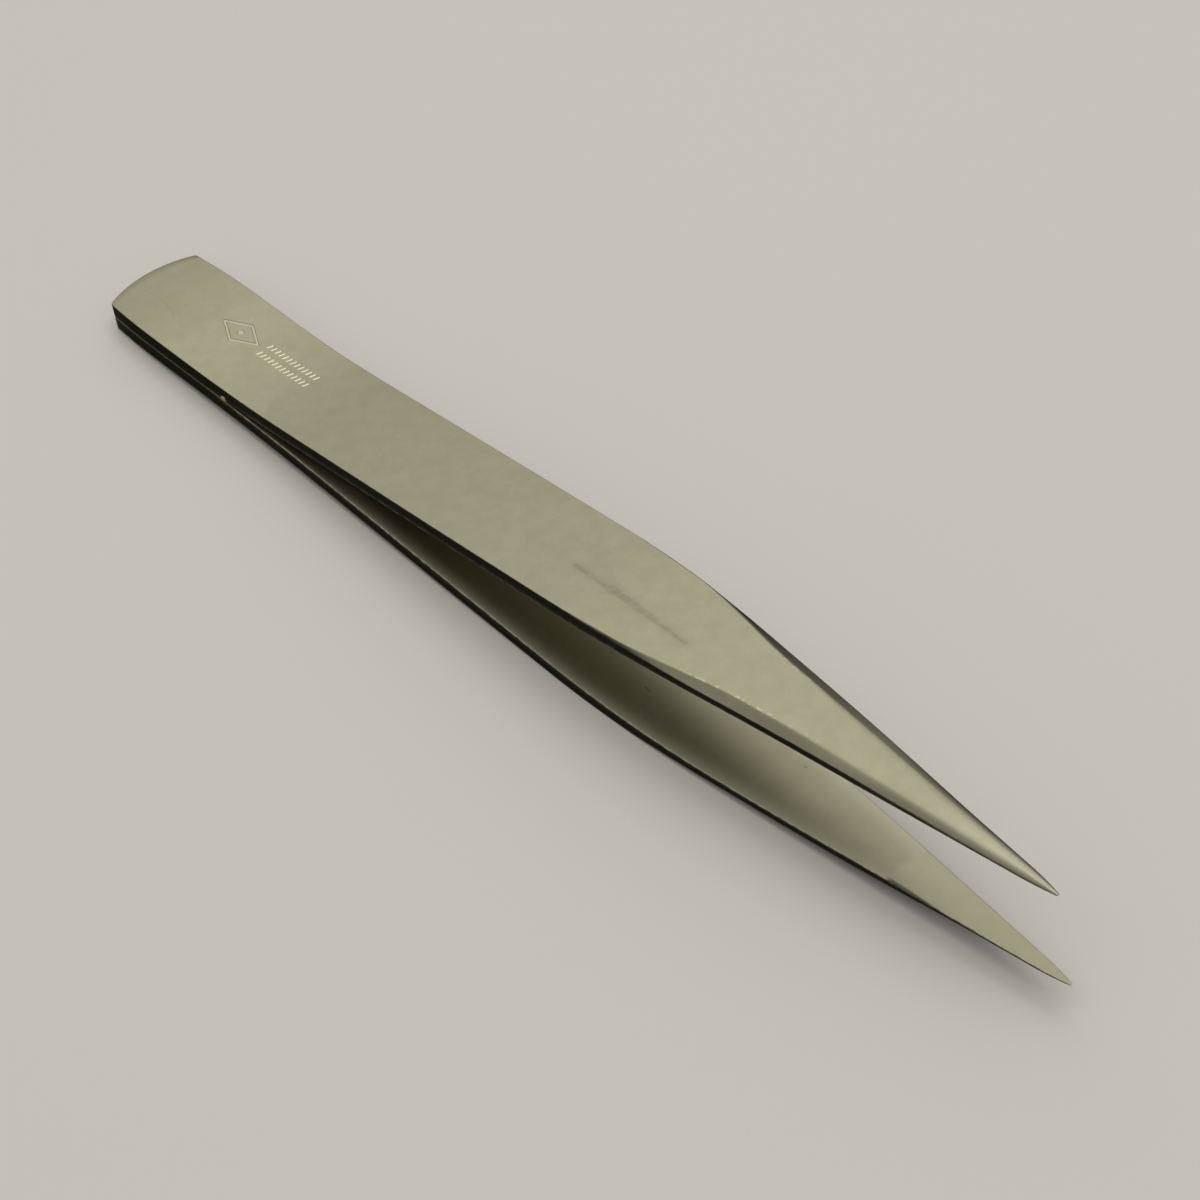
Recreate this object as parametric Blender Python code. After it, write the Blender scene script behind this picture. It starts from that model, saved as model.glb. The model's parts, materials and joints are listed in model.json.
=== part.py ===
"""Precision tweezers: two spring steel arms, brazed together at the heel.

Lengths are in millimetres until a mesh is made, and metres from there on.

The tool frame has its origin at the middle of the heel's end, +X along the tool towards
the tips, +Y across the arms and +Z out of the upper arm. The tool lies on its lower arm,
so the tool frame is an empty, turned until that arm's heel and belly both touch z = 0.
"""

import math

import bmesh
import bpy
from mathutils import Matrix, Vector

MM = 0.001

# Side view: the line of an arm's inner face.
LENGTH = 130.0
SEAM = 0.14                 # between the two arms at the heel, filled with braze metal
FLARE_START = 14.0          # the arms leave each other here
FLARE_END = 32.0
SPLAY = 0.0743              # slope of each arm between the flare and the return bend
RETURN_START = 69.0
RETURN_END = 104.0
SHOULDER_SLOPE = -0.0035    # slope after the return bend
TIP_FLAT_START = 108.5      # the inner face is ground flat from here to the tip
TIP_FLAT_SLOPE = 0.006
HEEL_RISE = 0.42            # the middle plane is set up by this much at the heel
RISE_START = 5.0
RISE_END = 27.0

# Top view: the outline of an arm.
HEEL_WIDTH = 9.95
GRIP_WIDTH = 10.53
GRIP_X = 10.5
WAIST_WIDTH = 10.42
WAIST_X = 26.0
BELLY_WIDTH = 10.62
BELLY_START = 58.0
BELLY_END = 68.0
TAPER_START = 90.0          # the outline is straight from here almost to the tip
TIP_WIDTH = 0.64            # where the two straight sides end, without the point
POINT_START = 126.0         # the outline and the thickness round off to the point from here
POINT_WIDTH = 0.28
TAPER_SLOPE = (2 * (BELLY_WIDTH - TIP_WIDTH)
               / ((TAPER_START - BELLY_END) + 2 * (LENGTH - TAPER_START)))
HEEL_END_RADIUS = 10.2
HEEL_CORNER_RADIUS = 0.3
HEEL_BOW_FADE = 6.0         # the stations straighten out over this length

# Section: the thickness of an arm, and the bevels ground on its outer edges.
HEEL_THICKNESS = 1.31
ARM_THICKNESS = 1.28
TIP_THINNING_START = 98.0
TIP_THICKNESS = 0.36
POINT_THICKNESS = 0.16
BEVEL_START = 69.0
LAND_START = 93.0           # the bevel leaves the side an upright land of LAND_HEIGHT
LAND_HEIGHT = 0.75
LAND_FADE_START = 104.0
LAND_FADE_END = 121.0
NEEDLE_LAND = 0.32          # part of the thickness, from LAND_FADE_END on
RIDGE_START = 79.0          # the ridge over the bevel leaves the edge here
RIDGE_TURN = 96.0           # and runs straight towards the tip from here
RIDGE_END = 126.0
RIDGE_START_RATIO = 0.985   # outer face's width over inner face's width
RIDGE_TURN_RATIO = 0.72
RIDGE_END_RATIO = 0.33
ROUNDING_START = 103.0      # the bevels swell towards a half-round needle from here
ROUNDING_END = 122.0
ROUNDING = 0.8              # how far towards half-round

# The place that stands in for the arm's bending, and the cut that lets it turn.
FLEX_X = 34.0
FLEX_CUT = 0.10

# Braze metal: a layer that fills the seam and the start of the flare, and a small bead
# squeezed out at each side of the layer's front end.
LAYER_CLEARANCE = 0.02
LAYER_INSET = 0.25
BEAD_X = 19.9
BEAD_LENGTH = 0.70
BEAD_HEIGHT = 0.76
BEAD_DEPTH = 0.18
BEAD_RISE = 0.15            # the bead's middle lies over the middle plane
BEAD_NECK = 0.20
BEAD_NECK_FLARE = 0.30

# Mesh fineness.
HEEL_STATION_STEP = 1.5
BLADE_STATION_STEP = 1.2
HEEL_COLUMNS = 8


def ramp(x, start, end):
    """0 before start, 1 after end and straight between."""
    return min(1.0, max(0.0, (x - start) / (end - start)))


def ease(x, start, end):
    """A ramp with soft ends."""
    u = ramp(x, start, end)
    return u * u * (3 - 2 * u)


def bend(x, start, end):
    """A line that is level before start, slopes at 1 after end, and is an arc between."""
    span = end - start
    u = ramp(x, start, end)
    return 0.5 * span * u * u + max(0.0, x - end)


def rise(x):
    """How far the middle plane, and both arms with it, is bent up."""
    return HEEL_RISE * (1 - ease(x, RISE_START, RISE_END))


def half_gap(x):
    """Height of the upper arm's inner face over the middle plane."""
    flare = SPLAY * bend(x, FLARE_START, FLARE_END)
    back = (SPLAY - SHOULDER_SLOPE) * bend(x, RETURN_START, RETURN_END)
    tip = (TIP_FLAT_SLOPE - SHOULDER_SLOPE) * max(0.0, x - TIP_FLAT_START)
    return SEAM / 2 + flare - back + tip


def half_width(x):
    """Half the width of the inner face."""
    heel = (HEEL_WIDTH - GRIP_WIDTH) * (1 - ramp(x, 0, GRIP_X)) ** 2
    waist = (WAIST_WIDTH - GRIP_WIDTH) * ease(x, GRIP_X, WAIST_X)
    belly = (BELLY_WIDTH - WAIST_WIDTH) * ease(x, WAIST_X, BELLY_START)
    taper = TAPER_SLOPE * bend(x, BELLY_END, TAPER_START)
    point = (TIP_WIDTH - POINT_WIDTH) * ramp(x, POINT_START, LENGTH) ** 2
    return 0.5 * (GRIP_WIDTH + heel + waist + belly - taper - point)


def thickness(x):
    """Thickness on the centre line."""
    arm = HEEL_THICKNESS + (ARM_THICKNESS - HEEL_THICKNESS) * ease(x, FLARE_START, BELLY_START)
    tip = (ARM_THICKNESS - TIP_THICKNESS) * ramp(x, TIP_THINNING_START, LENGTH) ** 1.6
    point = (TIP_THICKNESS - POINT_THICKNESS) * ramp(x, POINT_START, LENGTH) ** 2
    return arm - tip - point


def land_height(x):
    """Height of the upright land that the bevel leaves on each side."""
    full = thickness(x)
    ground = full + (LAND_HEIGHT - full) * ease(x, BEVEL_START, LAND_START)
    needle = NEEDLE_LAND * full
    return ground + (needle - ground) * ease(x, LAND_FADE_START, LAND_FADE_END)


def outer_ratio(x):
    """Width of the flat outer face over the width of the inner face."""
    first = (RIDGE_TURN_RATIO - RIDGE_START_RATIO) * ease(x, RIDGE_START, RIDGE_TURN)
    second = (RIDGE_END_RATIO - RIDGE_TURN_RATIO) * ramp(x, RIDGE_TURN, RIDGE_END)
    return RIDGE_START_RATIO + first + second


def outer_height(x, y):
    """Height of the outer surface over the inner face, at a distance y from the centre line."""
    half = half_width(x)
    across = min(1.0, abs(y) / half)
    full, land = thickness(x), land_height(x)
    bevelled = full + (land - full) * ramp(across, outer_ratio(x), 1.0)
    half_round = land + (full - land) * math.sqrt(max(0.0, 1 - across ** 2))
    swell = ROUNDING * ease(x, ROUNDING_START, ROUNDING_END)
    return bevelled + (half_round - bevelled) * swell


def heel_end(y):
    """How far the rounded heel end lies behind its middle, at a distance y from it."""
    bow = HEEL_END_RADIUS - math.sqrt(HEEL_END_RADIUS ** 2 - y ** 2)
    into_corner = max(0.0, abs(y) - (0.5 * HEEL_WIDTH - HEEL_CORNER_RADIUS))
    into_corner = min(into_corner, HEEL_CORNER_RADIUS)
    corner = HEEL_CORNER_RADIUS - math.sqrt(HEEL_CORNER_RADIUS ** 2 - into_corner ** 2)
    return bow + corner


def heel_columns():
    """Places across the heel, from -1 to 1: even, with the two corners followed closely."""
    corner = HEEL_CORNER_RADIUS / (0.5 * HEEL_WIDTH)
    inner_edge = 1 - corner
    even = [inner_edge * (2 * i / HEEL_COLUMNS - 1) for i in range(HEEL_COLUMNS + 1)]
    turn = [inner_edge + corner * math.sin(math.radians(a)) for a in (35, 62, 90)]
    return [-u for u in reversed(turn)] + even + turn


def blade_columns(x):
    """Places across the blade, from -1 to 1, with one on each ridge of the bevels."""
    ridge = outer_ratio(x)
    half = [0.4 * ridge, 0.75 * ridge, ridge, 0.6 * ridge + 0.4, 1.0]
    return [-u for u in reversed(half)] + [0.0] + half


def stations(start, end, step):
    """Evenly spaced places along the tool, both ends included."""
    count = math.ceil((end - start) / step)
    return [start + (end - start) * i / count for i in range(count + 1)]


def row_pair(x, columns, shift):
    """One station's inner and outer rows of points, from -Y to +Y."""
    inner, outer = [], []
    for u in columns:
        y = u * half_width(x)
        place = x + shift * heel_end(y) if shift else x
        inner.append(Vector((place, y, half_gap(x))))
        outer.append(Vector((place, y, half_gap(x) + outer_height(x, y))))
    return inner, outer


def strip_mesh(name, row_pairs, side, origin):
    """A closed strip through the stations' rows. side is 1 above the middle plane, -1 below."""
    bm = bmesh.new()
    rings = []
    for inner, outer in row_pairs:
        ring = inner + outer[::-1]
        rings.append([bm.verts.new((Vector((p.x, p.y, side * p.z + rise(p.x))) - origin) * MM)
                      for p in ring])
    count = len(rings[0])
    for ring, after in zip(rings, rings[1:]):
        for i in range(count):
            j = (i + 1) % count
            bm.faces.new((ring[i], ring[j], after[j], after[i]))
    for ring in (rings[0], rings[-1]):
        for i in range(count // 2 - 1):
            bm.faces.new((ring[i], ring[i + 1], ring[count - 2 - i], ring[count - 1 - i]))
    bmesh.ops.recalc_face_normals(bm, faces=bm.faces)
    mesh = bpy.data.meshes.new(name)
    bm.to_mesh(mesh)
    bm.free()
    mesh.shade_smooth()
    mesh.set_sharp_from_angle(angle=math.radians(20))
    return mesh


def material(name, colour, roughness):
    """A bare metal."""
    made = bpy.data.materials.new(name)
    made.use_nodes = True
    shader = made.node_tree.nodes["Principled BSDF"]
    shader.inputs["Base Color"].default_value = (*colour, 1.0)
    shader.inputs["Metallic"].default_value = 1.0
    shader.inputs["Roughness"].default_value = roughness
    return made


def add_object(name, mesh, parent, origin, finish):
    """An object whose own origin is at a place in the tool frame."""
    made = bpy.data.objects.new(name, mesh)
    made.data.materials.append(finish)
    made.parent = parent
    made.location = origin * MM
    bpy.context.collection.objects.link(made)
    return made


def flex_axis(side):
    """Where an arm's flex axis crosses the tool frame's middle: half-way through the arm."""
    return Vector((FLEX_X, 0, side * (half_gap(FLEX_X) + 0.5 * thickness(FLEX_X))))


def arm_heel(name, side, frame, finish):
    """The still end of an arm, from the rounded heel to the flex cut."""
    last = FLEX_X - FLEX_CUT / 2
    rows = []
    for x in stations(0.0, last, HEEL_STATION_STEP):
        shift = 1 - ramp(x, 0.0, HEEL_BOW_FADE)
        rows.append(row_pair(x, heel_columns(), shift))
    origin = Vector((0, 0, 0))
    add_object(name, strip_mesh(name, rows, side, origin), frame, origin, finish)


def arm_blade(name, side, frame, finish):
    """The springing end of an arm, from the flex cut to the needle tip."""
    first = FLEX_X + FLEX_CUT / 2
    places = stations(first, TIP_FLAT_START, BLADE_STATION_STEP)
    places += stations(TIP_FLAT_START, LENGTH, BLADE_STATION_STEP)[1:]
    rows = [row_pair(x, blade_columns(x), 0.0) for x in places]
    origin = flex_axis(side)
    add_object(name, strip_mesh(name, rows, side, origin), frame, origin, finish)


def layer_half_width(x):
    """Half the layer's width: inset from the arms' edges, then out to the two beads."""
    neck_start = BEAD_X - BEAD_NECK / 2
    out = ramp(x, neck_start - BEAD_NECK_FLARE, neck_start)
    return half_width(x) - LAYER_INSET + (LAYER_INSET + 1.5 * LAYER_CLEARANCE) * out


def braze_layer(frame, finish):
    """The thin layer of filler metal that holds the two arms together."""
    neck_start, neck_stop = BEAD_X - BEAD_NECK / 2, BEAD_X + BEAD_NECK / 2
    places = stations(LAYER_INSET, neck_start - BEAD_NECK_FLARE, HEEL_STATION_STEP)
    rows = []
    for x in places + [neck_start, neck_stop]:
        shift = 1 - ramp(x, 0.0, HEEL_BOW_FADE)
        top, bottom = [], []
        for u in heel_columns():
            y = u * layer_half_width(x)
            place = x + shift * heel_end(y)
            deep = half_gap(place) - LAYER_CLEARANCE
            bottom.append(Vector((place, y, -deep)))
            top.append(Vector((place, y, deep)))
        rows.append((bottom, top))
    origin = Vector((0, 0, 0))
    mesh = strip_mesh("braze_joint", rows, 1, origin)
    return add_object("braze_joint", mesh, frame, origin, finish)


def bead_cutter(name, side, frame):
    """Half an ellipsoid with its flat against the arms' edges, joined to the layer's neck."""
    bm = bmesh.new()
    size = Vector((BEAD_LENGTH / 2, BEAD_DEPTH, BEAD_HEIGHT / 2)) * MM
    bmesh.ops.create_uvsphere(bm, u_segments=16, v_segments=8, radius=1.0)
    flat = bmesh.ops.bisect_plane(bm, geom=bm.verts[:] + bm.edges[:] + bm.faces[:],
                                  plane_co=(0, 0, 0), plane_no=(0, -side, 0),
                                  clear_outer=True)
    rim = [item for item in flat["geom_cut"] if isinstance(item, bmesh.types.BMEdge)]
    bmesh.ops.holes_fill(bm, edges=rim)
    bmesh.ops.transform(bm, matrix=Matrix.Diagonal((*size, 1)), verts=bm.verts)
    bmesh.ops.recalc_face_normals(bm, faces=bm.faces)
    mesh = bpy.data.meshes.new(name)
    bm.to_mesh(mesh)
    bm.free()
    made = bpy.data.objects.new(name, mesh)
    made.parent = frame
    edge = side * (half_width(BEAD_X) + LAYER_CLEARANCE)
    made.location = Vector((BEAD_X, edge, BEAD_RISE + rise(BEAD_X))) * MM
    made.hide_render = True
    made.display_type = "WIRE"
    bpy.context.collection.objects.link(made)
    return made


def braze_joint(frame, finish):
    """The braze layer with its two beads, as one solid."""
    layer = braze_layer(frame, finish)
    for name, side in (("bead_near", -1), ("bead_far", 1)):
        union = layer.modifiers.new(name, "BOOLEAN")
        union.operation = "UNION"
        union.solver = "EXACT"
        union.object = bead_cutter(name, side, frame)


def tool_frame():
    """The empty that lays the tool on its lower arm, with the middle of its length at x = 0."""
    def underside(x):
        return half_gap(x) + thickness(x) - rise(x)

    def slope(x):
        return (underside(x) - underside(0)) / x

    tilt = math.atan(max(slope(x) for x in stations(FLEX_X, LENGTH, 0.5)))
    lay_down = Matrix.Rotation(-tilt, 4, "Y")
    heel_edge = lay_down @ Vector((-LENGTH / 2, 0, -underside(0)))
    empty = bpy.data.objects.new("tool_frame", None)
    empty.matrix_world = (Matrix.Translation((0, 0, -heel_edge.z * MM)) @ lay_down
                          @ Matrix.Translation((-LENGTH / 2 * MM, 0, 0)))
    bpy.context.collection.objects.link(empty)
    return empty


def build():
    """Clear the scene and make every sub-part."""
    for old in list(bpy.data.objects):
        bpy.data.objects.remove(old, do_unlink=True)
    steel = material("satin_steel", (0.56, 0.54, 0.48), 0.34)
    braze = material("braze_metal", (0.62, 0.47, 0.22), 0.32)
    frame = tool_frame()
    for name, side in (("upper_arm", 1), ("lower_arm", -1)):
        arm_heel(name + "_heel", side, frame, steel)
        arm_blade(name + "_blade", side, frame, steel)
    braze_joint(frame, braze)
    bpy.context.view_layer.update()


build()
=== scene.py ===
"""The looks of the precision tweezers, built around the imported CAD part.

Each arm is one continuous strip of satin spring steel, and it bends between the heel and its
blade's body. The braze metal between the two arms is a third piece. Shapes are worked out in
millimetres in the tool frame: its origin is at the middle of the heel's end, +X runs along the
tool towards the tips, +Y across the arms and +Z out of the upper arm.
"""

import json
import math

import bmesh
import bpy
import numpy as np
from mathutils import Matrix, Vector


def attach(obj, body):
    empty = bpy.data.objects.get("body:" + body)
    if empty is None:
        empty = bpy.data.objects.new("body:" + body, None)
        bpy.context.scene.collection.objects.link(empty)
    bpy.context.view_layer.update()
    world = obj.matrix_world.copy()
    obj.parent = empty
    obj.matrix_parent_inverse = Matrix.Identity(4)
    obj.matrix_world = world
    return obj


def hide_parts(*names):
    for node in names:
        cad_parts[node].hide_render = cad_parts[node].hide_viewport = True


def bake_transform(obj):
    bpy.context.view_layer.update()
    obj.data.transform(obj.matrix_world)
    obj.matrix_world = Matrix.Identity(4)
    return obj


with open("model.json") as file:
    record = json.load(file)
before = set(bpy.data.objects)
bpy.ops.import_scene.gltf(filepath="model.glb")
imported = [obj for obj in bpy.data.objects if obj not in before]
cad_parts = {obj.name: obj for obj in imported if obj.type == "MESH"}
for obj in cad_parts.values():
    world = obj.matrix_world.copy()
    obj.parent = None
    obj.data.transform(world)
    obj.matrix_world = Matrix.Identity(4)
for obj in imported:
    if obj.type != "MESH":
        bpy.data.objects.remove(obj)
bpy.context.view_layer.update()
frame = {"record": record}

MM = 0.001

# Side view: the line of an arm's inner face.
LENGTH = 130.0
SEAM = 0.14
FLARE_START = 14.0
FLARE_END = 32.0
SPLAY = 0.0743
RETURN_START = 69.0
RETURN_END = 104.0
SHOULDER_SLOPE = -0.0035
TIP_FLAT_START = 108.5
TIP_FLAT_SLOPE = 0.006
HEEL_RISE = 0.42
RISE_START = 5.0
RISE_END = 27.0

# Top view: the outline of an arm.
HEEL_WIDTH = 9.95
GRIP_WIDTH = 10.53
GRIP_X = 10.5
WAIST_WIDTH = 10.42
WAIST_X = 26.0
BELLY_WIDTH = 10.62
BELLY_START = 58.0
BELLY_END = 68.0
TAPER_START = 90.0
TIP_WIDTH = 0.64
POINT_START = 126.0
POINT_WIDTH = 0.28
TAPER_SLOPE = (2 * (BELLY_WIDTH - TIP_WIDTH)
               / ((TAPER_START - BELLY_END) + 2 * (LENGTH - TAPER_START)))
HEEL_END_RADIUS = 10.2
HEEL_CORNER_RADIUS = 0.3
HEEL_END_REACH = 5.0        # the braze and the material follow the rounded end out to here
HEEL_BOW_FADE = 6.0
MOUNT_X = 3.0               # the middle of the mounts on the heel's outer faces

# Section: the thickness of an arm, and the bevels ground on its outer edges.
HEEL_THICKNESS = 1.31
ARM_THICKNESS = 1.28
TIP_THINNING_START = 98.0
TIP_THINNING_POWER = 1.6
TIP_THICKNESS = 0.36
POINT_THICKNESS = 0.16
BEVEL_START = 69.0
LAND_START = 93.0
LAND_HEIGHT = 0.75
LAND_FADE_START = 104.0
LAND_FADE_END = 121.0
NEEDLE_LAND = 0.32
RIDGE_START = 79.0
RIDGE_TURN = 96.0
RIDGE_END = 126.0
RIDGE_START_RATIO = 0.985
RIDGE_TURN_RATIO = 0.72
RIDGE_END_RATIO = 0.33
ROUNDING_START = 103.0
ROUNDING_END = 122.0
ROUNDING = 0.8

# The softness of an arm's edges and ends.
EDGE_SOFT = 0.08
RIDGE_SOFT_START = 0.30
RIDGE_SOFT_END = 0.50
RIDGE_CRISP = 0.20
RIDGE_CRISP_START = 87.0
RIDGE_FADE_START = 92.0
RIDGE_FADE_END = 108.0
BEVEL_SOFT_LIMIT = 0.45     # the ridge's softness, as part of the bevel's width at most
SOFT_LIMIT = 0.3            # any softness, as part of the arm's half width at most
HEEL_END_SOFT = 0.08
TIP_END_SOFT = 0.19
TIP_END_TURN = 0.46 * math.pi

# How finely an arm is drawn: along it, around its corners and across its flats.
STATION_STEPS = ((0.0, 1.0), (60.0, 0.7), (120.0, 0.45))
CORNER_STEPS = (0.25, 0.5, 0.75, 1.0, 1.5)
CORNER_ROOM = 2.1           # a run is at least this many times as long as its corner's steps
FLAT_STEPS = (0.0, 0.2, 0.4, 0.6, 0.76, 0.86, 0.91, 0.95)
BEVEL_STEPS = (0.4, 0.6)
END_STEPS = 5
OUTLINE_POINTS = 33
WINDOW_POINTS = 15

# The stamped mark: a lozenge with a dot in it, then two rows of slanting ticks.
MARK_Y = 0.9
LOZENGE_X = 14.55
LOZENGE_HALF_LENGTH = 2.7
LOZENGE_HALF_WIDTH = 1.3
DOT_RADIUS = 0.34
STROKE_WIDTH = 0.30
STROKE_DEPTH = 0.05
STROKE_FLAT = 0.6           # the groove's flat bottom, as part of its width
DOT_FLAT = 0.8              # the same for the dot's pit
DOT_POINTS = 20
TICK_ROWS = (0.62, -0.62)
TICK_FIRST_X = 18.5
TICK_PITCH = 0.62
TICK_COUNT = 13
TICK_LENGTH = 0.80
TICK_SLANT = 0.22
TICK_WIDTH = 0.19
TICK_DEPTH = 0.05
TICK_TOP = 1.3              # the cutter's top and its keel, as parts of a tick's length
TICK_KEEL = 0.7
CUTTER_RISE = 0.08
MARK_END = 28.0
MARK_REACH = 0.7            # the mark lies within this part of the arm's width

# The faces of an arm, as the material sees them, fade into each other over these distances.
SIDE_BLUR = (0.02, 0.07)
LAND_BLUR = (-0.05, 0.03)
END_BLUR = (0.02, 0.08)
BEVEL_BLUR = 0.08
INNER_BLUR = (0.01, 0.06)
CUT_BLUR = (0.008, 0.03)
HALVES_BLUR = 0.3           # between the left and right halves of a face
EDGES_BLUR = 1.0            # between the left and right edges
ARMS_BLUR = 0.5             # between the lower and upper arms

# Painted highlights: the inner face is lighter along its edges, and the corners glint.
RIM_WIDTH = 1.9
GLINT_WIDTH = 0.10
TOP_EDGE_GLINT = 0.3         # painted glint of the land's top edge, as part of the inner edge's
RIDGE_GLINT_FROM = (86.0, 90.0)
RIDGE_GLINT_TO = (100.0, 104.0)

# The steel's colours, painted highlight and painted shade among them, and its sheen.
STEEL_DARK = (0.545, 0.530, 0.378, 1)
STEEL_LIGHT = (0.590, 0.574, 0.415, 1)
# the dull grain, inner face and scratch, and the painted shade on the heel and the bevels
STEEL_DULL_AND_SHADE = (0.40, 0.388, 0.262, 1)
# painted highlights: edges, ridge, needle crest, mark cuts and the inner face's edges
STEEL_HIGHLIGHT = (0.88, 0.86, 0.68, 1)
# painted shade on the cut sides and the ground flat's broken corner, and the small marks' colour
STEEL_SHADE_AND_MARKS = (0.15, 0.147, 0.107, 1)
STAIN = (0.20, 0.165, 0.085, 1)
SATIN_ROUGHNESS = 0.23
GLINT_WHITE = 0.6           # how much less metallic the corners with painted glints are than the steel

# Where the finish and its painted light and shade change along an arm, as the start and the end of
# each change.
# painted shade on the outer faces, darker towards the heel's end
HEEL_SHADE = (1.0, 15.0)
# where the painted glints on the edges grow in
EDGE_GLINT = (17.0, 24.0)
# where the painted highlight along the inner face's edges grows in
INNER_HIGHLIGHT = (22.0, 44.0)
BEVEL_SEEN = (79.0, 83.0)
# the painted shade on the left and right bevels changes over these
LEFT_BEVEL = (88.0, 104.0)
RIGHT_BEVEL = (88.0, 100.0)
# where the painted shade on the upper arm's needle side lightens
SIDE_LIGHTER = (100.0, 116.0)
# the needle, whose crest gets a painted highlight
NEEDLE = (110.0, 125.0)

# Where the bevel's painted shade and the crest's painted highlight change down a bevel, as parts of
# its width from the ridge.
BEVEL_SHADE = (0.0, 0.7)
CREST = (0.1, 0.8)

# Painted shade on a cut side: how much darker it is than the steel, and by how much the needle's
# side is less so.
SIDE_TINT = 0.8
NEEDLE_SIDE_TINT = -0.6

# The ground flat inside each tip. Its right corner is broken in its first part, and painted shade
# darkens it there.
GROUND_START = 109.7
GROUND_EDGE = (0.5, 1.5)    # the boundary's blur, past the start
GROUND_UNEVEN = 2.0
CORNER_END = 118.0
CORNER_NARROWS = -0.10
CORNER_LEAD = (-0.2, 0.8)   # the broken corner's blur, about the start
CORNER_RIM = (0.90, 0.95)

# A texture goes from none to full between these two values of its noise.
MOTTLE = (0.3, 0.7)
GRAIN = (0.40, 0.62)
GLINT_PATCHES = (0.42, 0.62)
STAINED = (0.3, 0.6)
RIDGE_PATCHES = (0.50, 0.60)

# Marks of use, as straight strokes between (x, y) places on a face.
SMUDGE = (((68.6, -0.70), (77.0, -1.05)),
          ((77.0, -1.05), (84.8, -1.35)),
          ((73.5, -0.62), (80.5, -0.98)))
SMUDGE_HALO_WIDTH = 1.2
SMUDGE_LINE_WIDTH = 0.42
SCRATCH = ((2.7, -1.40), (4.2, -1.30), (5.6, -1.37), (6.7, -1.60), (7.7, -2.00))
SCRATCH_WIDTH = 0.09
INNER_MARKS = (((94.4, 1.95), (94.6, 1.97)), ((76.9, -1.25), (77.7, -1.35)))
INNER_MARK_WIDTH = 0.16

# Braze metal: the layer between the heels, and a bead at each side.
BRAZE_DARK = (0.80, 0.66, 0.27, 1)
BRAZE_LIGHT = (0.98, 0.88, 0.46, 1)
BRAZE_CLOUD = (0.35, 0.65)
BRAZE_ROUGHNESS = 0.18
BRAZE_CLOUD_ROUGHNESS = 0.2
LAYER_GAP = 0.012
LAYER_INSET = 0.14
LAYER_STEP = 0.6
LAYER_POINTS = 24
LAYER_SQUARE = (0.25, 0.35) # below 1, these powers square a ring off, across and in height
LAYER_PAST_BEAD = 0.05
BEAD_X = 19.9
BEAD_RISE = 0.15
BEAD_SINK = 0.05
BEAD_SIZE = (0.35, 0.19, 0.37)
BEAD_FINENESS = 4
BEAD_LUMPS = (0.10, 0.07)
BEAD_PACE = (2.1, 3.3)
BEAD_PHASE = 1.3            # shifts the lumps, so that the two beads differ
BEAD_SLUMP = (0.08, 0.05)

# Angles, in degrees, above which an edge is drawn sharp.
ARM_SHARP = 27
BRAZE_SHARP = 40


# ---------------------------------------------------------------------------------------
# The shape of an arm
# ---------------------------------------------------------------------------------------

def ramp(x, start, end):
    """0 before start, 1 after end and straight between."""
    return min(1.0, max(0.0, (x - start) / (end - start)))


def ease(x, start, end):
    """A ramp with soft ends."""
    u = ramp(x, start, end)
    return u * u * (3 - 2 * u)


def bend(x, start, end):
    """A line that is level before start, slopes at 1 after end, and is an arc between."""
    span = end - start
    u = ramp(x, start, end)
    return 0.5 * span * u * u + max(0.0, x - end)


def rise(x):
    """How far the middle plane, and both arms with it, is bent up."""
    return HEEL_RISE * (1 - ease(x, RISE_START, RISE_END))


def half_gap(x):
    """Height of the upper arm's inner face over the middle plane."""
    flare = SPLAY * bend(x, FLARE_START, FLARE_END)
    back = (SPLAY - SHOULDER_SLOPE) * bend(x, RETURN_START, RETURN_END)
    tip = (TIP_FLAT_SLOPE - SHOULDER_SLOPE) * max(0.0, x - TIP_FLAT_START)
    return SEAM / 2 + flare - back + tip


def half_width(x):
    """Half the width of the inner face."""
    heel = (HEEL_WIDTH - GRIP_WIDTH) * (1 - ramp(x, 0, GRIP_X)) ** 2
    waist = (WAIST_WIDTH - GRIP_WIDTH) * ease(x, GRIP_X, WAIST_X)
    belly = (BELLY_WIDTH - WAIST_WIDTH) * ease(x, WAIST_X, BELLY_START)
    taper = TAPER_SLOPE * bend(x, BELLY_END, TAPER_START)
    point = (TIP_WIDTH - POINT_WIDTH) * ramp(x, POINT_START, LENGTH) ** 2
    return 0.5 * (GRIP_WIDTH + heel + waist + belly - taper - point)


def thickness(x):
    """Thickness on the centre line."""
    arm = HEEL_THICKNESS + (ARM_THICKNESS - HEEL_THICKNESS) * ease(x, FLARE_START, BELLY_START)
    thinning = ramp(x, TIP_THINNING_START, LENGTH) ** TIP_THINNING_POWER
    tip = (ARM_THICKNESS - TIP_THICKNESS) * thinning
    point = (TIP_THICKNESS - POINT_THICKNESS) * ramp(x, POINT_START, LENGTH) ** 2
    return arm - tip - point


def land_height(x):
    """Height of the upright land that the bevel leaves on each side."""
    full = thickness(x)
    ground = full + (LAND_HEIGHT - full) * ease(x, BEVEL_START, LAND_START)
    needle = NEEDLE_LAND * full
    return ground + (needle - ground) * ease(x, LAND_FADE_START, LAND_FADE_END)


def outer_ratio(x):
    """Width of the flat outer face over the width of the inner face."""
    first = (RIDGE_TURN_RATIO - RIDGE_START_RATIO) * ease(x, RIDGE_START, RIDGE_TURN)
    second = (RIDGE_END_RATIO - RIDGE_TURN_RATIO) * ramp(x, RIDGE_TURN, RIDGE_END)
    return RIDGE_START_RATIO + first + second


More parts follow.
